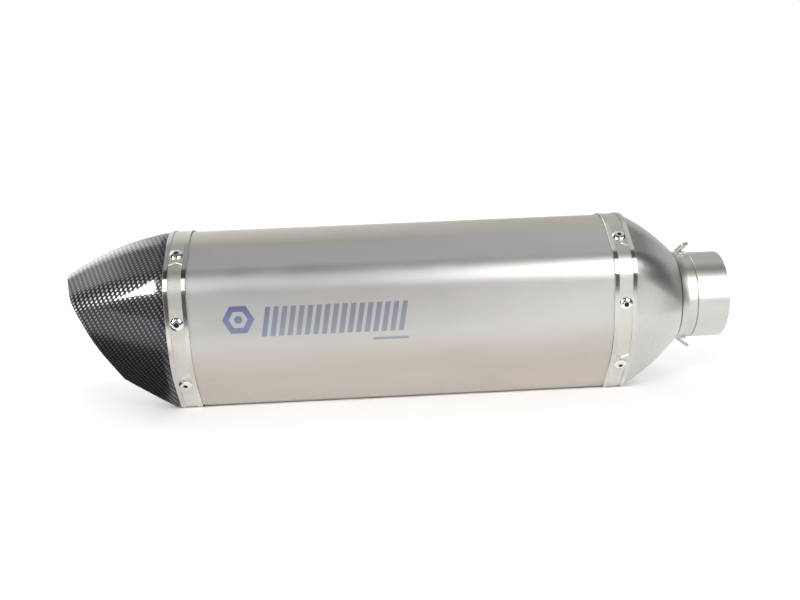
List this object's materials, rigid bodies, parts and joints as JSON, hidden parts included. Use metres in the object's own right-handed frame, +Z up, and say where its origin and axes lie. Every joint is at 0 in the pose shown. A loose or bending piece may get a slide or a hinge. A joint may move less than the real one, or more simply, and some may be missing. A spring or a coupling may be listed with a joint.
{
  "type": "motorcycle slip-on muffler",
  "caption": "Slip-on muffler: hexagonal satin metal sleeve, slash-cut woven carbon outlet cap, riveted end bands, cone to a round inlet pipe with spring hooks.",
  "frame": {"origin": "centre of the inlet pipe's mouth, on the pipe's axis", "axes": "+X out of the inlet mouth along the muffler's axis, +Z up, with the long lip of the slash-cut outlet at the top; the muffler lies on the foot of its two bands"},
  "size_m": [0.4536, 0.0996, 0.1237],
  "materials": {
    "titanium_sleeve": "brushed satin titanium",
    "carbon_cap": "woven carbon fibre under clear coat",
    "titanium_cone": "satin titanium",
    "titanium_pipe": "satin turned titanium",
    "band_steel": "satin panels, polished rims",
    "rivet_steel": "polished",
    "mandrel_steel": "dull, dark",
    "hook_steel": "drawn wire",
    "inner_steel": "dull inner steel",
    "insert_steel": "dull turned steel",
    "steel_wool": "loose steel wool",
    "glass_wool": "glass wool",
    "screw_steel": "dark steel"
  },
  "bodies": {
    "muffler": {"sleeve": "titanium_sleeve", "outlet_cap": "carbon_cap", "inlet_cone": "titanium_cone", "inlet_pipe": "titanium_pipe", "pipe_sleeve": "titanium_pipe", "neck_collar": "titanium_pipe", "outlet_band": "band_steel", "inlet_band": "band_steel", "outlet_rivets": "rivet_steel", "inlet_rivets": "rivet_steel", "outlet_mandrels": "mandrel_steel", "inlet_mandrels": "mandrel_steel", "upper_spring_hook": "hook_steel", "lower_spring_hook": "hook_steel", "upper_hook_foot": "hook_steel", "lower_hook_foot": "hook_steel", "outlet_end_plate": "inner_steel", "inlet_end_plate": "inner_steel", "tail_tube": "inner_steel", "insert_seat": "inner_steel", "perforated_core": "inner_steel", "steel_wool": "steel_wool", "glass_wool": "glass_wool"},
    "insert": {"insert_flange": "insert_steel", "insert_tube": "insert_steel", "insert_nose": "insert_steel", "insert_screws": "screw_steel"}
  },
  "joints": [
    {"name": "insert_slide", "type": "slide", "parent": "muffler", "child": "insert", "axis": [-1, 0, 0], "range_m": [0, 0.16]}
  ]
}
